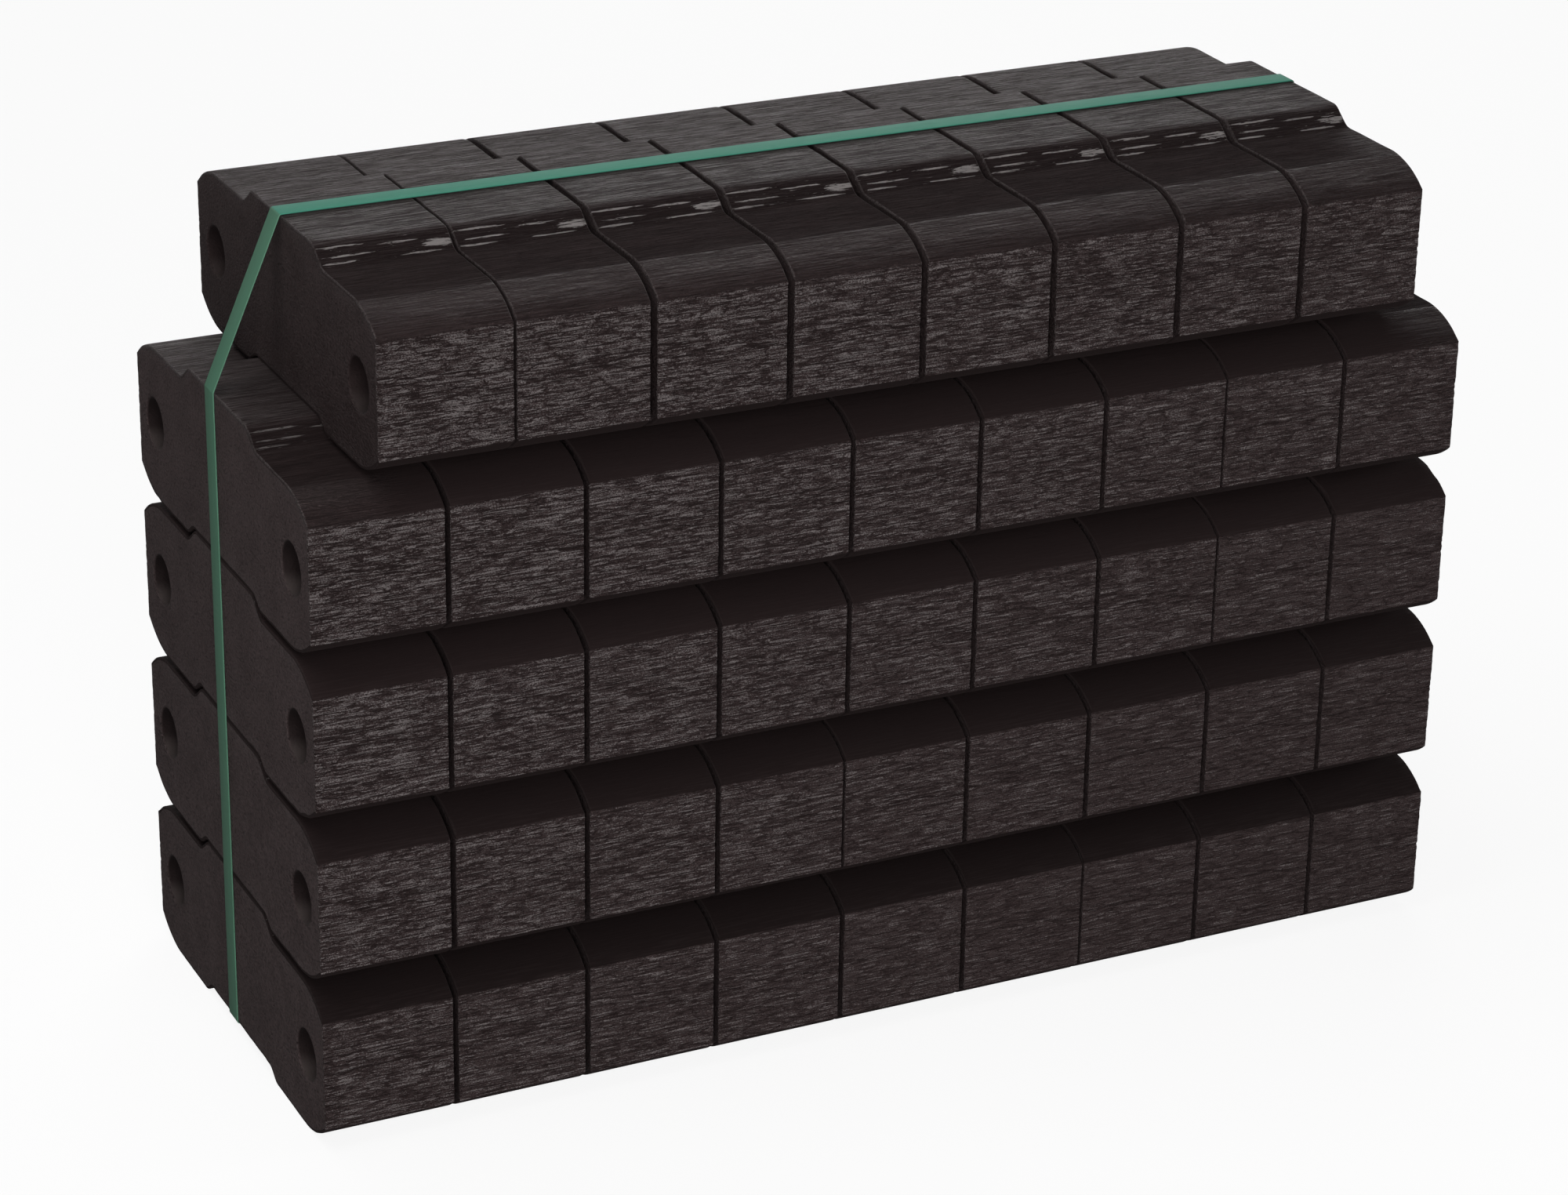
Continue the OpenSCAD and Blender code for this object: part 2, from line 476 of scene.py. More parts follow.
def briquette_mesh():
    """The mesh that every briquette starts from, with its finishes, flat map and worn places marked."""
    base = briquette_points(0)
    mesh = bpy.data.meshes.new("briquette")
    mesh.from_pydata((base * MM).tolist(), [], faces)
    finish = np.array([0, 0, 1, 1, 2, 2])[zones]
    mesh.polygons.foreach_set("material_index", finish.astype(np.int32))
    mesh.polygons.foreach_set("use_smooth", np.ones(len(faces), bool))
    corner_point = np.zeros(len(mesh.loops), np.int32)
    mesh.loops.foreach_get("vertex_index", corner_point)
    corner_zone = np.repeat(zones, [len(face) for face in faces])
    x, y, z = base[corner_point].T
    flat_map = mesh.uv_layers.new(name="OFBake")
    flat_map.uv.foreach_set("vector", flat_place(corner_zone, x, y, z).astype(np.float32).ravel())

    ring_of_point = np.where(used_points < ring_size * columns, used_points // columns, -1)
    column_of_point = np.where(ring_of_point >= 0, used_points % columns, -1)
    from_side = np.minimum(column_of_point, columns - 1 - column_of_point)
    worn = np.select([from_side == 0, from_side == 1, from_side < edge_columns - 1], [0.15, 0.6, 0.8], 0.0)
    worn = worn * (ring_of_point >= 0)
    on_ends = np.isin(ring_of_point, np.flatnonzero(on_front | on_back))
    mark(mesh, "worn_edge", np.where(on_ends, 0.25 * worn, worn))
    across = np.where(ring_of_point >= 0, np.abs(ring_y[ring_of_point]), 0)
    flank = np.interp(across, [rib_top - 0.5, rib_top + 1.5, flank_end - 2.5, flank_end], [0, 1, 1, 0])
    mark(mesh, "flank", flank * np.isin(ring_of_point, np.flatnonzero(on_top)))
    mark(mesh, "piece_place", base)
    in_dimple = base[:, 0] * (ring_of_point < 0) * (base[:, 0] < thickness / 2)
    mark(mesh, "domed", np.interp(in_dimple, [0.13, 0.45], [0, 1]))

    ends = np.zeros(len(mesh.edges) * 2, np.int32)
    mesh.edges.foreach_get("vertices", ends)
    ends = ring_of_point[ends].reshape(-1, 2)
    crisp = (ends[:, 0] == ends[:, 1]) & np.isin(ends[:, 0], (0, top_corner, back_corner, low_corner))
    mesh.edges.foreach_set("use_edge_sharp", crisp)
    return mesh


def put(tree, kind, inputs=(), **settings):
    """Adds a node to a tree. Inputs are values, or outputs of other nodes to link."""
    node = tree.nodes.new(kind)
    for name, value in settings.items():
        setattr(node, name, value)
    for name, value in dict(inputs).items():
        if isinstance(value, bpy.types.NodeSocket):
            tree.links.new(value, node.inputs[name])
        else:
            node.inputs[name].default_value = value
    return node


def new_group(name, inputs, outputs):
    """An empty shader group with these sockets: (name, kind, value) going in, (name, kind) coming out."""
    tree = bpy.data.node_groups.new(name, "ShaderNodeTree")
    for socket, kind, value in inputs:
        made = tree.interface.new_socket(socket, in_out="INPUT", socket_type=kind)
        if value is not None:
            made.default_value = value
    for socket, kind in outputs:
        tree.interface.new_socket(socket, in_out="OUTPUT", socket_type=kind)
    return tree, tree.nodes.new("NodeGroupInput").outputs, tree.nodes.new("NodeGroupOutput").inputs


def maths(tree, operation, first, second=0.0, third=0.0):
    return put(tree, "ShaderNodeMath", {0: first, 1: second, 2: third}, operation=operation).outputs[0]


def times(tree, first, second):
    return maths(tree, "MULTIPLY", first, second)


def added(tree, base, value, share):
    """A base with a share of a value added to it."""
    return maths(tree, "MULTIPLY_ADD", value, share, base)


def spread(tree, value, low, high, to_low=0.0, to_high=1.0):
    """Maps a value from one range to another, held at the ends."""
    inputs = {"Value": value, "From Min": low, "From Max": high, "To Min": to_low, "To Max": to_high}
    return put(tree, "ShaderNodeMapRange", inputs, interpolation_type="SMOOTHSTEP").outputs["Result"]


def blend_colours(tree, share, first, second):
    return put(tree, "ShaderNodeMix", {0: share, 6: first, 7: second}, data_type="RGBA").outputs[2]


def coated(tree, colour, coats):
    """A colour with others laid over it in turn, each by its own share."""
    for share, coat in coats:
        colour = blend_colours(tree, share, colour, coat)
    return colour


def grain_group():
    """Coal grain: uneven layers, stretched along the row and thin across it. Sizes in millimetres."""
    tree, given, result = new_group(
        "coal grain",
        [
            ("Place", "NodeSocketVector", None),
            ("Along", "NodeSocketFloat", 10.0),
            ("Across", "NodeSocketFloat", 1.0),
            ("Detail", "NodeSocketFloat", 4.0),
            ("Unevenness", "NodeSocketFloat", 0.6),
            ("Twist", "NodeSocketFloat", 0.3),
        ],
        [("Height", "NodeSocketFloat")],
    )
    along, across = given["Along"], given["Across"]
    size = put(tree, "ShaderNodeCombineXYZ", {"X": along, "Y": across, "Z": across})
    place = put(tree, "ShaderNodeVectorMath", {0: given["Place"], 1: size.outputs[0]}, operation="DIVIDE")
    noise = put(tree, "ShaderNodeTexNoise", {
        "Vector": place.outputs[0],
        "Scale": 1.0,
        "Detail": given["Detail"],
        "Roughness": given["Unevenness"],
        "Distortion": given["Twist"],
    })
    tree.links.new(noise.outputs["Fac"], result["Height"])
    return tree


coal_grain = grain_group()


def grain_height(tree, place, along, across, detail=4.0, unevenness=0.6, twist=0.3):
    inputs = {
        "Place": place, "Along": along, "Across": across,
        "Detail": detail, "Unevenness": unevenness, "Twist": twist,
    }
    return put(tree, "ShaderNodeGroup", inputs, node_tree=coal_grain).outputs["Height"]


def split_group():
    """A split that wanders along the row at a given height: 1 in the middle of the line, 0 away from it."""
    tree, given, result = new_group(
        "split line",
        [
            ("Place", "NodeSocketVector", None),
            ("Height", "NodeSocketFloat", 30.0),
            ("Fall", "NodeSocketFloat", 0.05),
            ("Wander", "NodeSocketFloat", 0.8),
            ("Turn", "NodeSocketFloat", 0.0),
            ("Width", "NodeSocketFloat", 0.6),
        ],
        [("Split", "NodeSocketFloat")],
    )
    place = put(tree, "ShaderNodeSeparateXYZ", {0: given["Place"]}).outputs
    slow = maths(tree, "SINE", added(tree, given["Turn"], place["X"], long_wave))
    quick = maths(tree, "SINE", added(tree, times(tree, given["Turn"], 2.0), place["X"], short_wave))
    line = added(tree, given["Height"], added(tree, slow, quick, 0.5), given["Wander"])
    line = maths(tree, "SUBTRACT", line, times(tree, place["X"], given["Fall"]))
    above = maths(tree, "DIVIDE", maths(tree, "SUBTRACT", place["Z"], line), given["Width"])
    near = maths(tree, "SUBTRACT", 1.0, maths(tree, "ABSOLUTE", above))
    tree.links.new(maths(tree, "MAXIMUM", near, 0.0), result["Split"])
    return tree


split_line = split_group()


def all_splits(tree, place):
    """The splits of a torn end laid over each other."""
    total = 0.0
    for height, fall, wander, turn, depth in split_lines:
        inputs = {
            "Place": place, "Height": height, "Fall": fall,
            "Wander": wander, "Turn": turn, "Width": split_width,
        }
        line = put(tree, "ShaderNodeGroup", inputs, node_tree=split_line).outputs["Split"]
        total = added(tree, total, line, depth)
    return total


def crack_group():
    """Thin lines that wander along the grain, 1 in the middle of a line and 0 away from it."""
    tree, given, result = new_group(
        "long cracks",
        [
            ("Place", "NodeSocketVector", None),
            ("Along", "NodeSocketFloat", 60.0),
            ("Across", "NodeSocketFloat", 8.0),
            ("Width", "NodeSocketFloat", 0.02),
        ],
        [("Crack", "NodeSocketFloat")],
    )
    layers = grain_height(tree, given["Place"], given["Along"], given["Across"], 3.0, 0.5, 0.2)
    away = maths(tree, "ABSOLUTE", maths(tree, "SUBTRACT", layers, 0.5))
    near = maths(tree, "SUBTRACT", 1.0, maths(tree, "DIVIDE", away, given["Width"]))
    tree.links.new(maths(tree, "MAXIMUM", near, 0.0), result["Crack"])
    return tree


long_cracks = crack_group()


def crack_lines(tree, place, along, across, width):
    inputs = {"Place": place, "Along": along, "Across": across, "Width": width}
    return put(tree, "ShaderNodeGroup", inputs, node_tree=long_cracks).outputs["Crack"]


def wear_group():
    """Edges rubbed lighter and smoother, broken up by the grain."""
    tree, given, result = new_group(
        "rubbed edges",
        [
            ("Color", "NodeSocketColor", None),
            ("Roughness", "NodeSocketFloat", 0.5),
            ("Worn", "NodeSocketFloat", 0.0),
            ("Grain", "NodeSocketFloat", 0.5),
            ("Rubbed Color", "NodeSocketColor", None),
            ("Rubbed Roughness", "NodeSocketFloat", 0.4),
        ],
        [("Color", "NodeSocketColor"), ("Roughness", "NodeSocketFloat")],
    )
    patchy = spread(tree, given["Grain"], 0.3, 0.6, 0.25, 1.0)
    share = times(tree, given["Worn"], patchy)
    tree.links.new(blend_colours(tree, share, given["Color"], given["Rubbed Color"]), result["Color"])
    change = maths(tree, "SUBTRACT", given["Rubbed Roughness"], given["Roughness"])
    tree.links.new(added(tree, given["Roughness"], change, share), result["Roughness"])
    return tree


rubbed_edges = wear_group()


def painted(tree, name, output):
    return put(tree, "ShaderNodeAttribute", attribute_name=name).outputs[output]


def new_material(name):
    """A material with only its Principled shader, and that shader's tree."""
    material = bpy.data.materials.new(name)
    material.use_nodes = True
    return material, material.node_tree, material.node_tree.nodes["Principled BSDF"]


# Colours of the coal, from the darkest to the palest, some of them also laid on as painted shade and painted
# light; the brown of the painted light low in the dimples; and the grey of the flakes, partly painted glints
black_coal = (0.002, 0.0012, 0.0012, 1)
dark_coal = (0.008, 0.005, 0.005, 1)
split_coal = (0.0105, 0.0068, 0.0068, 1)
shaded_coal = (0.0117, 0.0075, 0.0075, 1)
plain_coal = (0.0155, 0.0103, 0.0103, 1)
faint_coal = (0.028, 0.0195, 0.0195, 1)
torn_coal = (0.035, 0.025, 0.025, 1)
# Rubbed coal, laid on worn edges and also as painted light
rubbed_and_lit_coal = (0.075, 0.065, 0.0645, 1)
matt_coal = (0.089, 0.0675, 0.0675, 1)
pale_crumb_and_glint = (0.17, 0.15, 0.149, 1)
dimple_light_brown = (0.075, 0.062, 0.059, 1)
flake_and_glint_grey = (0.31, 0.288, 0.282, 1)

# Coal shines a little warm, and smoother where it is rubbed
warm_shine = (1.0, 0.74, 0.73, 1)
rubbed_roughness = 0.42
coal_shine = 0.3
dull_shine = 0.2

# Depth of the fine relief of each finish, in metres
torn_relief = 0.0016
drawn_relief = 0.0008
pressed_relief = 0.0006
strap_relief = 0.0001

# Colours of the strap: its two greens, the coal dust on it, and the brown tint on its upright runs
deep_green = (0.053, 0.238, 0.166, 1)
light_green = (0.059, 0.258, 0.181, 1)
dusty_green = (0.055, 0.125, 0.096, 1)
upright_brown = (0.14, 0.11, 0.058, 1)


def finish_coal(tree, shader, colour, roughness, height, distance, worn_grain, wear=1.0):
    """Adds the rubbed edges and the bump that every coal finish has."""
    worn = put(tree, "ShaderNodeGroup", {
        "Color": colour,
        "Roughness": roughness,
        "Worn": times(tree, painted(tree, "worn_edge", "Fac"), wear),
        "Grain": worn_grain,
        "Rubbed Color": rubbed_and_lit_coal,
        "Rubbed Roughness": rubbed_roughness,
    }, node_tree=rubbed_edges)
    bump = put(tree, "ShaderNodeBump", {"Height": height, "Distance": distance, "Strength": 1.0})
    shader.inputs["Specular Tint"].default_value = warm_shine
    tree.links.new(worn.outputs["Color"], shader.inputs["Base Color"])
    tree.links.new(worn.outputs["Roughness"], shader.inputs["Roughness"])
    tree.links.new(bump.outputs["Normal"], shader.inputs["Normal"])


# Where the larger flakes have come off each flank: place along the row and across the rib, half sizes
flake_spots = [
    (43.5, 36.0, 5.5, 1.3), (9.0, 33.2, 9.0, 0.35), (11.0, 36.4, 8.0, 0.3),
    (7.0, 38.6, 6.0, 0.4), (30.0, 34.2, 7.0, 0.3), (36.0, 38.6, 8.0, 0.35),
]


def flake_bias(tree, local):
    """Raises the flake pattern round each of the larger flakes, the same on every briquette."""
    place = put(tree, "ShaderNodeSeparateXYZ", {0: local}).outputs
    across = maths(tree, "ABSOLUTE", place["Y"])
    total = 0.0
    for along_middle, across_middle, half_long, half_wide in flake_spots:
        along = maths(tree, "DIVIDE", maths(tree, "SUBTRACT", place["X"], along_middle), half_long)
        over = maths(tree, "DIVIDE", maths(tree, "SUBTRACT", across, across_middle), half_wide)
        away = added(tree, times(tree, over, over), along, along)
        near = spread(tree, away, 2.0, 0.3, 0.0, 0.26)
        total = maths(tree, "MAXIMUM", total, near)
    return total


def torn_end_material():
    """End faces torn across the grain: long thin layers, crumbs between them and dark splits, the pale crumb
    tops partly painted glints that fade away from the top left.
    """
    material, tree, shader = new_material("torn coal")
    place = painted(tree, "grain_place", "Vector")
    local = painted(tree, "piece_place", "Vector")
    height_up = put(tree, "ShaderNodeSeparateXYZ", {0: local}).outputs["Z"]
    broad = grain_height(tree, place, 16.0, 2.4, 2.0, 0.5, 0.4)
    layers = grain_height(tree, place, 11.0, 0.44, 1.0, 0.5, 0.15)
    crumbs = grain_height(tree, place, 0.55, 0.4, 1.0, 0.5, 0.0)
    splits = times(tree, all_splits(tree, local), spread(tree, layers, 0.6, 0.45))
    cracks = crack_lines(tree, place, 11.0, 2.2, 0.045)
    height = layers
    for detail, share in ((crumbs, 0.8), (broad, 0.14), (splits, -0.25), (cracks, -0.3)):
        height = added(tree, height, detail, share)
    # Painted highlights: the torn grain is paler and has more contrast where the piece would catch more
    # light
    highlight_falloff = painted(tree, "highlight_falloff", "Fac")
    uneven = times(tree, maths(tree, "SUBTRACT", height, 0.95), highlight_falloff)
    height = maths(tree, "ADD", uneven, added(tree, 0.89, highlight_falloff, 0.15))
    colour = blend_colours(tree, spread(tree, height, 0.72, 0.99), split_coal, torn_coal)
    # Pale crumb tops, partly the coal's own grain and partly painted glints
    colour = blend_colours(tree, spread(tree, height, 0.99, 1.24), colour, pale_crumb_and_glint)
    frayed = added(tree, height_up, layers, 3.2)
    colour = blend_colours(tree, spread(tree, frayed, 52.4, 52.8), colour, plain_coal)
    roughness = spread(tree, height, 0.85, 1.2, 0.9, 0.42)
    finish_coal(tree, shader, colour, roughness, height, torn_relief, crumbs)
    shader.inputs["Specular IOR Level"].default_value = coal_shine
    return material


def drawn_side_material():
    """Top and underside, drawn smooth by the press: fine streaks and peeled flakes on the rib's flanks,
    painted shade under the row above and underneath, and painted light on the top row's shoulder, on the
    back half in the open and on the open step.
    """
    material, tree, shader = new_material("drawn coal")
    place = painted(tree, "grain_place", "Vector")
    local = painted(tree, "piece_place", "Vector")
    flank = painted(tree, "flank", "Fac")
    overhang_shade = painted(tree, "overhang_shade", "Fac")
    open_step = painted(tree, "open_step", "Fac")
    # Share of the top in the open, and share in the shade of the row above, where shade is painted
    open_share = spread(tree, overhang_shade, 1.0, 0.5)
    shaded_share = maths(tree, "SUBTRACT", 1.0, open_share)
    streaks = grain_height(tree, place, 14.0, 0.5, 3.0, 0.65, 0.35)
    broad = grain_height(tree, place, 45.0, 6.0, 2.0, 0.5, 0.3)
    specks = grain_height(tree, place, 1.1, 0.9, 2.0, 0.6, 0.0)
    pebbles = grain_height(tree, place, 2.2, 1.2, 1.0, 0.5, 0.0)
    peeled = grain_height(tree, place, 6.0, 0.4, 5.0, 0.62, 0.5)
    lines = times(tree, crack_lines(tree, place, 30.0, 1.3, 0.022), open_share)

    # Parts of the surface, by millimetres forward of the middle and up from the underside
    sides = put(tree, "ShaderNodeSeparateXYZ", {0: local}).outputs
    forward = times(tree, sides["Y"], -1.0)
    dull = times(tree, spread(tree, forward, 38.0, 42.0), spread(tree, forward, 73.6, 72.8))
    dull = times(tree, dull, spread(tree, overhang_shade, 0.2, 0.5, 0.3, 1.0))
    # Painted light: a lighter band over the top row's shoulder, where light would catch it
    shoulder = times(tree, spread(tree, forward, 72.8, 75.0), spread(tree, forward, 87.0, 81.0))
    shoulder = times(tree, shoulder, open_share)
    pebbled = times(tree, spread(tree, forward, 71.0, 75.0), open_share)
    # Painted light: the back half of the top is painted lighter in the open, as lit from behind
    behind = times(tree, spread(tree, forward, 4.0, -12.0), open_share)
    # Painted shade: the front edge of shoulders under the row above, and the underside
    edge_on = times(tree, spread(tree, forward, 72.0, 91.0), shaded_share)
    under = spread(tree, sides["Z"], 20.0, 12.0)

    tone = spread(tree, added(tree, streaks, broad, 0.5), 0.6, 0.9)
    # Painted shade: under the row above, the streaks are painted darker, then laid over with a flat dark
    # colour, darkest on the two lowest rows
    tone = times(tree, tone, added(tree, 0.75, open_share, 0.25))
    shade = blend_colours(tree, spread(tree, overhang_shade, 1.0, 1.2, 0.0, 0.75), shaded_coal, black_coal)
    light_specks = times(tree, spread(tree, specks, 0.72, 0.8, 0.0, 0.25), open_share)
    # Painted light: lighter streaks on the open step at each end of the fourth row
    step_light = times(tree, open_step, spread(tree, forward, 50.0, 20.0))
    step_light = times(tree, spread(tree, streaks, 0.42, 0.6), step_light)
    # Painted shade, laid near-black on the underside and on the front edge of shaded shoulders
    painted_shade = maths(tree, "MAXIMUM", times(tree, under, 0.75), times(tree, edge_on, 0.25))
    ragged = maths(tree, "ADD", peeled, flake_bias(tree, local))
    ragged = added(tree, ragged, maths(tree, "SUBTRACT", specks, 0.5), 0.12)
    # Flakes of pale grey, partly peeled coal and partly painted glints
    flakes = times(tree, spread(tree, ragged, 0.67, 0.69), flank)
    # Painted shade: the flakes are painted dimmer under the row above and on the open step
    flake_share = times(tree, added(tree, 0.4, open_share, 0.6), added(tree, 1.0, open_step, -0.6))
    # Layers laid on the colour in turn, painted shade and painted light among them
    colour = coated(tree, blend_colours(tree, tone, dark_coal, plain_coal), (
        (times(tree, shaded_share, 0.95), shade),
        (times(tree, lines, 0.8), dark_coal),
        (light_specks, rubbed_and_lit_coal),
        (times(tree, step_light, 0.6), rubbed_and_lit_coal),
        (times(tree, shoulder, 0.13), rubbed_and_lit_coal),
        (times(tree, behind, 0.25), rubbed_and_lit_coal),
        (painted_shade, black_coal),
        (times(tree, flank, 0.9), dark_coal),
        (times(tree, flakes, flake_share), flake_and_glint_grey),
    ))

    roughness = spread(tree, streaks, 0.34, 0.66, 0.8, 0.34)
    for mask, share in ((lines, 0.25), (flank, 0.3), (dull, 0.45), (under, 0.5), (shaded_share, 0.4)):
        roughness = added(tree, roughness, mask, share)
    height = added(tree, streaks, lines, -1.0)
    height = added(tree, height, specks, 0.25)
    height = added(tree, height, times(tree, pebbles, pebbled), 1.2)
    height = times(tree, height, added(tree, 0.08, open_share, 0.92))
    height = added(tree, height, times(tree, peeled, flank), 2.0)
    # Painted shade: the rubbed edges are painted less light under the row above
    wear = spread(tree, overhang_shade, 1.0, 0.5, 0.1, 1.0)
    finish_coal(tree, shader, colour, roughness, height, drawn_relief, specks, wear)
    shader.inputs["Specular IOR Level"].default_value = coal_shine
    return material


def pressed_material():
    """Pressed faces: dull, finely stippled and pitted, with the dimples painted dark as shade and painted
    lighter low in each as light.
    """
    material, tree, shader = new_material("pressed coal")
    place = painted(tree, "grain_place", "Vector")
    domed = painted(tree, "domed", "Fac")
    # Painted shade where a neighbour stands against the face, and on the top row's open ends
    pressed_face_shade = painted(tree, "pressed_face_shade", "Fac")
    height_up = put(tree, "ShaderNodeSeparateXYZ", {0: painted(tree, "piece_place", "Vector")}).outputs["Z"]
    longer = put(tree, "ShaderNodeVectorMath", {0: place, 1: (1.0, 0.6, 1.0)}, operation="MULTIPLY")
    stipple = grain_height(tree, longer.outputs["Vector"], 0.8, 0.8, 1.0, 0.5, 0.0)
    pits = grain_height(tree, longer.outputs["Vector"], 0.9, 0.9, 0.0, 0.5, 0.0)
    cloud = grain_height(tree, place, 16.0, 16.0, 3.0, 0.5, 0.2)
    rough = added(tree, 1.0, domed, -0.75)
    stipple = added(tree, 0.5, maths(tree, "SUBTRACT", stipple, 0.5), rough)
    pits = times(tree, spread(tree, pits, 0.36, 0.26), rough)
    tone = spread(tree, added(tree, stipple, cloud, 0.4), 0.3, 1.1)
    # Painted light low in each dimple, a lighter brown where light would fall into the bowl; the rest of the
    # dimple is painted near-black as shade
    dust = times(tree, spread(tree, height_up, 27.0, 20.5, 0.0, 0.5), domed)
    colour = coated(tree, blend_colours(tree, tone, faint_coal, matt_coal), (
        (times(tree, pits, 0.5), dark_coal),
        (times(tree, domed, 0.95), black_coal),
        (dust, dimple_light_brown),
        (times(tree, pressed_face_shade, 0.7), dark_coal),
    ))
    roughness = added(tree, 0.6, stipple, 0.2)
    height = added(tree, stipple, pits, -0.4)
    finish_coal(tree, shader, colour, roughness, height, pressed_relief, cloud)
    shader.inputs["Specular IOR Level"].default_value = dull_shine
    return material


def strap_material():
    """Satin green strapping: faint lines drawn along it, and a little coal dust."""
    material, tree, shader = new_material("green strapping")
    place = painted(tree, "grain_place", "Vector")
    drawn = grain_height(tree, place, 90.0, 0.5, 2.0, 0.5, 0.0)
    dust = grain_height(tree, place, 9.0, 4.0, 5.0, 0.65, 0.2)
    green = blend_colours(tree, spread(tree, drawn, 0.35, 0.65), deep_green, light_green)
    colour = coated(tree, green, (
        (spread(tree, dust, 0.55, 0.75, 0.0, 0.1), dusty_green),
        (times(tree, painted(tree, "upright", "Fac"), 0.35), upright_brown),
    ))
    tree.links.new(colour, shader.inputs["Base Color"])
    roughness = added(tree, 0.5, dust, 0.2)
    tree.links.new(roughness, shader.inputs["Roughness"])
    shader.inputs["Specular IOR Level"].default_value = dull_shine
    bump = put(tree, "ShaderNodeBump", {"Height": drawn, "Distance": strap_relief, "Strength": 0.6})
    tree.links.new(bump.outputs["Normal"], shader.inputs["Normal"])
    return material


def add_piece(name, mesh, node):
    """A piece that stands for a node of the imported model."""
    piece = bpy.data.objects.new(name, mesh)
    bpy.context.scene.collection.objects.link(piece)
    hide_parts(node)
    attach(piece, "root")
    return piece


top_right = max(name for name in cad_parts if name.startswith("row5"))
# Each piece takes its grain from another part of the same coal
grain_step = np.array([173.0, 311.0, 97.0])


def row_and_place(name):
    return [int(word) for word in name.removeprefix("row").split("_briquette")]


def pressed_face_shade_points(points, name):
    """Painted shade on the pressed faces: 1 where a neighbour stands against a face, so the gap between them
    is painted dark; less on the top row's open ends, and more towards their bottom.
    """
    row, place = row_and_place(name)
    last = f"row{row}_briquette{place + 1}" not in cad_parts
    open_share = np.interp(points[:, 2], [0, body_height], [0.85, 0.55]) if row == 5 else 0.0
    left_share = 1.0 if place > 1 else open_share
    right_share = open_share if last else 1.0
    return np.where(points[:, 0] < thickness / 2, left_share, right_share)


def overhang_shade_points(points, name):
    """Painted shade under the row above: 1 or more where that row shades the top, most on the two lowest
    rows, 0.5 in the open, less at the top right end.
    """
    row, place = row_and_place(name)
    along, up = points[:, 0], points[:, 2]
    top = up > body_height / 2
    if row == 5:
        share = np.interp(along, [22, 46], [0.5, 0.2]) if name == top_right else 0.5
    elif row == 4 and place == 1:
        share = np.interp(along, [14, 44], [0.5, 1.0])
    elif row == 4 and place == 9:
        share = np.interp(along, [18, 40], [1.0, 0.5])
    else:
        share = {1: 1.2, 2: 1.1}.get(row, 1.0)
    return np.where(top, share, 1.0)


def open_step_points(points, name):
    """1 on the open step at each end of the fourth row, none where the top row covers it; there lighter
    streaks are painted on as light, and the flakes are painted dimmer as shade.
    """
    along = points[:, 0] if name == "row4_briquette1" else thickness - points[:, 0]
    share = np.interp(along, [18, 34], [1.0, 0.0]) * (points[:, 2] > body_height / 2)
    return share if name in ("row4_briquette1", "row4_briquette9") else np.zeros(len(points))


def highlight_falloff_share(lowest):
    """Painted highlights on the torn ends of a piece, for light that falls off across the bundle: strongest
    at the top left, weakest low and to the right.
    """
    whole = np.interp(lowest.x / MM, [-230, 175], [0.0, 0.4])
    whole += np.interp(lowest.z / MM, [0, 249], [0.3, 0.0])
    return 1.1 - min(whole, 0.55)


def add_briquettes():
    """One briquette for each node, each with wear of its own, and with painted shade and light of its own.
    """
    pattern = briquette_mesh()
    for material in (torn_end_material(), drawn_side_material(), pressed_material()):
        pattern.materials.append(material)
    names = sorted(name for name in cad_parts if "_briquette" in name)
    for number, name in enumerate(names, start=1):
        mesh = pattern.copy()
        mesh.name = name + "_coal"
        points = briquette_points(1000 * number)
        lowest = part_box(name)[0]
        shift = np.array([lowest.x, 0, lowest.z])
        mesh.vertices.foreach_set("co", (points * MM + shift).astype(np.float32).ravel())
        mark(mesh, "grain_place", points + grain_step * number)
        # Painted shade and light of each piece: shade on its pressed faces, highlights on its torn ends,
        # shade under the row above, light on the open step
        mark(mesh, "pressed_face_shade", pressed_face_shade_points(points, name))
        mark(mesh, "highlight_falloff", np.full(len(points), highlight_falloff_share(lowest)))
        mark(mesh, "overhang_shade", overhang_shade_points(points, name))
        mark(mesh, "open_step", open_step_points(points, name))
        mesh.update()
        add_piece(name + "_coal", mesh, name)
    bpy.data.meshes.remove(pattern)


def strap_section():
    """Outline of the strap cut across: place across it and height above the briquettes, edges rounded."""
    outline = []
    quarter = np.radians(np.linspace(0, 90, 4))
    wide, r = strap_half_width, strap_edge_round
    for start, across, up in ((0, 1, 1), (90, -1, 1), (180, -1, -1), (270, 1, -1)):
        for turn in quarter + math.radians(start):
            x = across * (wide - r) + r * math.cos(turn)
            z = strap_thickness / 2 + up * (strap_thickness / 2 - r) + r * math.sin(turn)
            outline.append((x, z))
    return np.array(outline)


def strap_route():
    """Corners of the strap's inner side in millimetres, in the order it is drawn round.

    Each corner is X, Z and the strap's middle in Y.
    """
    low = {name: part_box(name)[0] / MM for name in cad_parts}
    row_left = [low[f"row{row}_briquette1"].x for row in range(1, 6)]
    row_right = [low[f"row{row}_briquette{9 if row < 5 else 8}"].x + thickness for row in range(1, 6)]
    row_top = [low[f"row{row}_briquette1"].z + body_height + rib_height for row in range(1, 6)]
    return [
        (row_left[0], groove_depth, strap_back_left),
        (row_right[0], groove_depth, strap_right),
        (row_right[3], row_top[3], strap_right),
        (row_right[4], row_top[4], strap_right),
        (row_left[4], row_top[4], strap_top_left),
        (row_left[3], row_top[3], strap_back_left),
    ]


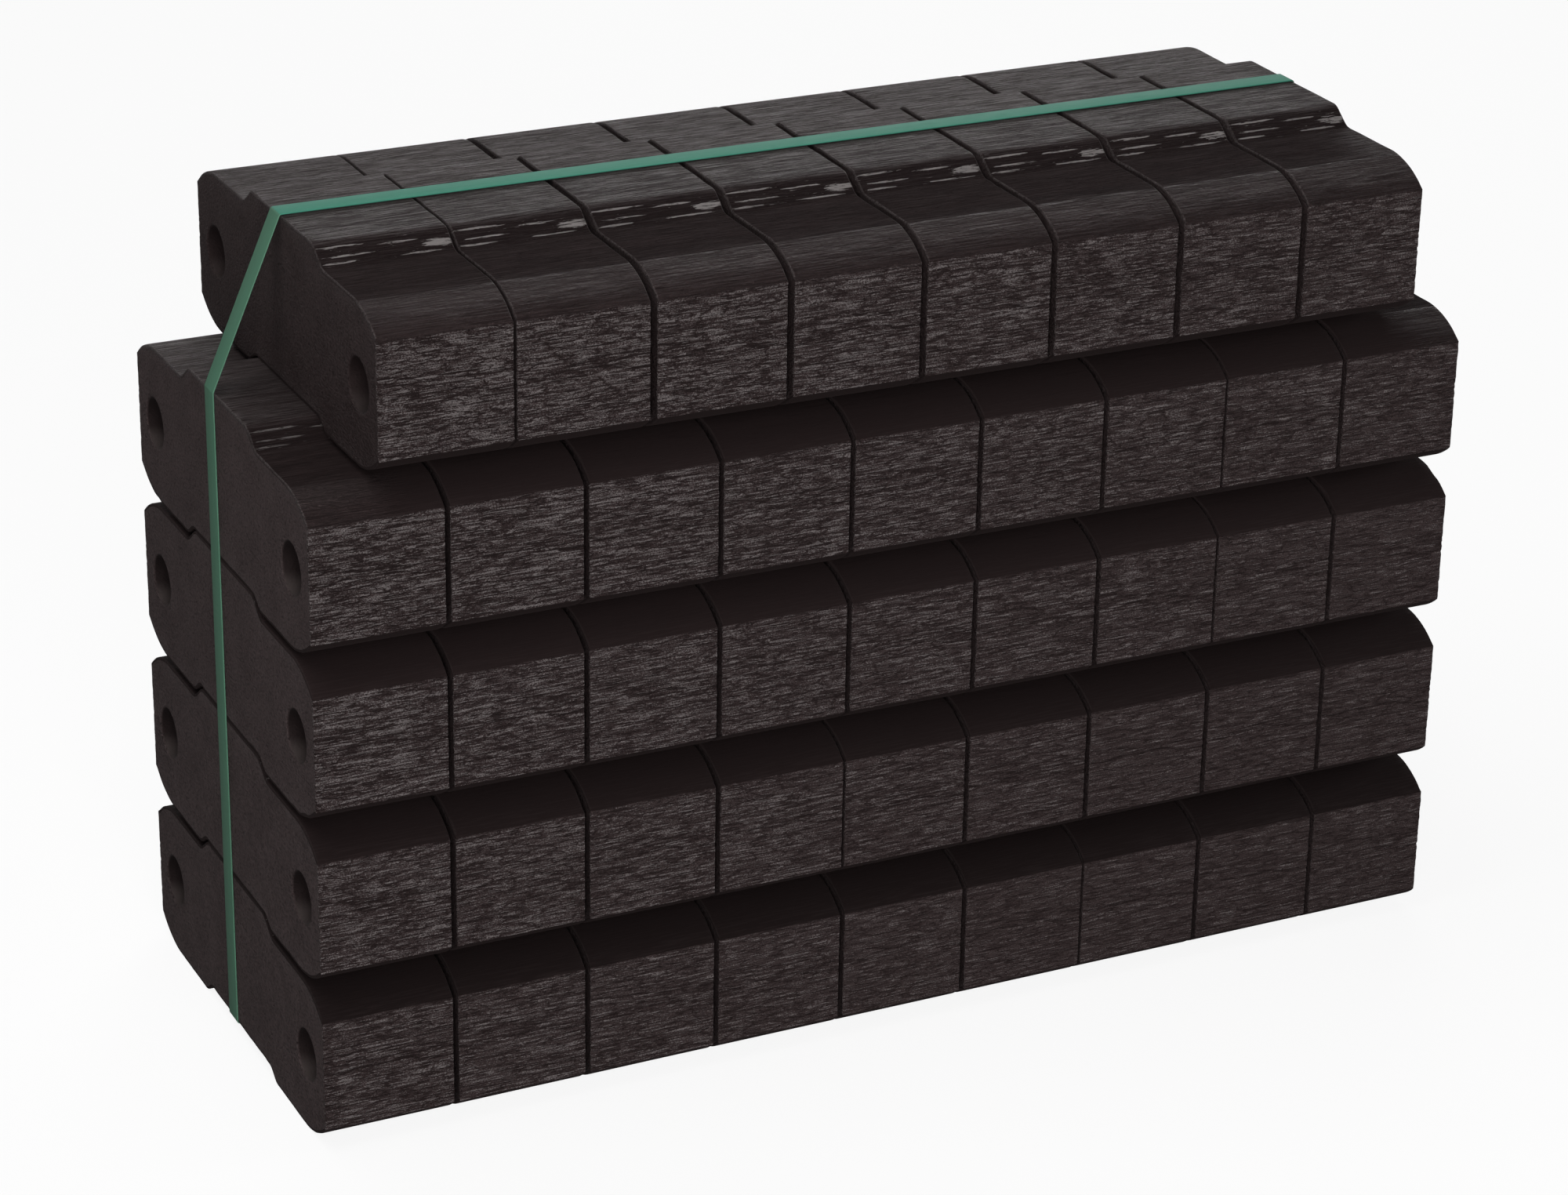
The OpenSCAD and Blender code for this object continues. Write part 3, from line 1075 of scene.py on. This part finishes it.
def strap_stations():
    """Places along the strap's inner side, the way it faces and its middle in Y, through every bend."""
    corners = strap_route()
    route = [Vector((x, z)) for x, z, _ in corners]
    count = len(route)
    ways = [(route[(i + 1) % count] - route[i]).normalized() for i in range(count)]
    stations = []
    for i in range(count):
        before, after = ways[i - 1], ways[i]
        turn = math.atan2(before.x * after.y - before.y * after.x, before.dot(after))
        setback = strap_bend_radius * math.tan(turn / 2)
        out = Vector((before.y, -before.x))
        middle = route[i] - before * setback - out * strap_bend_radius
        for step in range(bend_steps + 1):
            angle = turn * step / bend_steps
            facing = Vector((
                out.x * math.cos(angle) - out.y * math.sin(angle),
                out.x * math.sin(angle) + out.y * math.cos(angle),
            ))
            stations.append((middle + facing * strap_bend_radius, facing, corners[i][2]))
    return stations


def swept(stations, section, closed):
    """Points, faces and grain places of a section carried along stations."""
    points, places_along, faces = [], [], []
    travelled, before = 0.0, stations[0][0]
    for middle, facing, aside in stations:
        travelled += (middle - before).length
        before = middle
        for across, up in section:
            at = middle + facing * up
            points.append((at.x, aside - across, at.y))
            places_along.append((travelled, across, up))
    size, count = len(section), len(stations)
    for i in range(count if closed else count - 1):
        near, far = i * size, (i + 1) % count * size
        for s in range(size):
            n = (s + 1) % size
            faces.append([near + s, far + s, far + n, near + n])
    if not closed:
        faces.append(list(range(size)))
        faces.append([(count - 1) * size + s for s in reversed(range(size))])
    return points, faces, places_along


def add_strap():
    """The strap: one band drawn round the bundle, its other end lapped and welded underneath."""
    section = strap_section()
    stations = strap_stations()
    points, faces, along = swept(stations, section, True)
    upright = [float(abs(facing.y) < level_facing) for _, facing, _ in stations for _ in section]
    lap_height = groove_depth - strap_thickness
    (left, _, left_aside), (right, _, right_aside) = strap_route()[:2]
    lap = []
    for x in np.linspace(lap_start, lap_end, lap_stations):
        aside = left_aside + (right_aside - left_aside) * (x - left) / (right - left)
        lap.append((Vector((x, lap_height)), Vector((0, -1)), aside))
    lap_points, lap_faces, lap_along = swept(lap, section, False)
    faces += [[point + len(points) for point in face] for face in lap_faces]
    points += lap_points
    along += lap_along
    upright += [0.0] * len(lap_points)
    mesh = bpy.data.meshes.new("strap_band")
    mesh.from_pydata([tuple(value * MM for value in point) for point in points], [], faces)
    mesh.polygons.foreach_set("use_smooth", np.ones(len(faces), bool))
    mark(mesh, "grain_place", along)
    mark(mesh, "upright", upright)
    mesh.materials.append(strap_material())
    mesh.update()
    add_piece("strap_band", mesh, "strap")


# How much of the white surround shows in a reflection, as dull coal hardly mirrors it
dim_reflection = 0.12
floor_reach = 6.0
floor_grey = (0.14, 0.14, 0.14, 1)
floor_glow = 0.88
white = (1, 1, 1, 1)
room_light = 0.02


def add_floor():
    """A pale floor that stays white and keeps the bundle's shadow."""
    mesh = bpy.data.meshes.new("floor")
    corners = [(floor_reach * x, floor_reach * y, 0) for x, y in ((-1, -1), (1, -1), (1, 1), (-1, 1))]
    mesh.from_pydata(corners, [], [(0, 1, 2, 3)])
    material = bpy.data.materials.new("white floor")
    material.use_nodes = True
    tree = material.node_tree
    tree.nodes.clear()
    seen = put(tree, "ShaderNodeLightPath")
    direct = maths(tree, "MAXIMUM", seen.outputs["Is Camera Ray"], seen.outputs["Is Transmission Ray"])
    mirrored = times(tree, seen.outputs["Is Glossy Ray"], dim_reflection)
    strength = times(tree, maths(tree, "MAXIMUM", direct, mirrored), floor_glow)
    paper = put(tree, "ShaderNodeBsdfDiffuse", {"Color": floor_grey})
    glow = put(tree, "ShaderNodeEmission", {"Color": white, "Strength": strength})
    both = put(tree, "ShaderNodeAddShader", {0: paper.outputs[0], 1: glow.outputs[0]})
    put(tree, "ShaderNodeOutputMaterial", {"Surface": both.outputs[0]})
    mesh.materials.append(material)
    floor = bpy.data.objects.new("floor", mesh)
    bpy.context.scene.collection.objects.link(floor)


def light_the_room():
    """An even pale surround, seen as white."""
    world = bpy.data.worlds.new("white room")
    world.use_nodes = True
    tree = world.node_tree
    tree.nodes.clear()
    seen = put(tree, "ShaderNodeLightPath")
    direct = maths(tree, "MAXIMUM", seen.outputs["Is Camera Ray"], seen.outputs["Is Transmission Ray"])
    level = put(tree, "ShaderNodeMapRange", {"Value": direct, "To Min": room_light, "To Max": 1.0})
    back = put(tree, "ShaderNodeBackground", {"Color": white, "Strength": level.outputs[0]})
    put(tree, "ShaderNodeOutputWorld", {"Surface": back.outputs[0]})
    bpy.context.scene.world = world


# Softboxes: place, the point it is turned to, width, height and power in watts
softboxes = {
    "front softbox": ((-0.85, -1.75, 0.3), (0, 0, 0.17), 1.2, 0.6, 14.5),
    "near softbox": ((-0.4, -1.15, 0.5), (0, 0, 0.2), 0.6, 0.5, 7),
    "left softbox": ((-1.0, -0.3, 1.5), (0, 0, 0.25), 0.8, 0.6, 3.5),
    "top softbox": ((-0.35, 0.25, 1.5), (0, 0, 0.3), 1.2, 0.8, 8),
    "window softbox": ((0.87, 1.33, 1.26), (0, 0, 0.3), 0.9, 0.4, 5),
    "back softbox": ((0.6, 2.2, 0.645), (0, 0, 0.3), 3.4, 0.025, 10),
    "right softbox": ((1.9, -0.4, 0.5), (0.1, 0, 0.2), 0.6, 0.6, 9),
}


def add_softboxes():
    for name, (place, aim, wide, high, power) in softboxes.items():
        lamp = bpy.data.lights.new(name, "AREA")
        lamp.shape = "RECTANGLE"
        lamp.size = wide
        lamp.size_y = high
        lamp.energy = power
        box = bpy.data.objects.new(name, lamp)
        box.location = place
        box.rotation_mode = "QUATERNION"
        box.rotation_quaternion = (Vector(aim) - Vector(place)).to_track_quat("-Z", "Y")
        bpy.context.scene.collection.objects.link(box)


def add_camera():
    """The camera at the photograph's viewing angle."""
    eye = Vector((-0.66855, -1.34936, 0.79693))
    aim = Vector((-0.0111, -0.0031, 0.1395))
    roll = math.radians(0.989)
    lens = bpy.data.cameras.new("camera")
    lens.sensor_width = 36.0
    lens.lens = 100.06
    lens.clip_start = 0.05
    camera = bpy.data.objects.new("camera", lens)
    camera.location = eye
    camera.rotation_mode = "QUATERNION"
    camera.rotation_quaternion = (aim - eye).to_track_quat("-Z", "Y") @ Quaternion((0, 0, 1), roll)
    bpy.context.scene.collection.objects.link(camera)
    bpy.context.scene.camera = camera


add_camera()
add_briquettes()
add_strap()
add_floor()
light_the_room()
add_softboxes()
bpy.context.scene.view_settings.view_transform = "Standard"
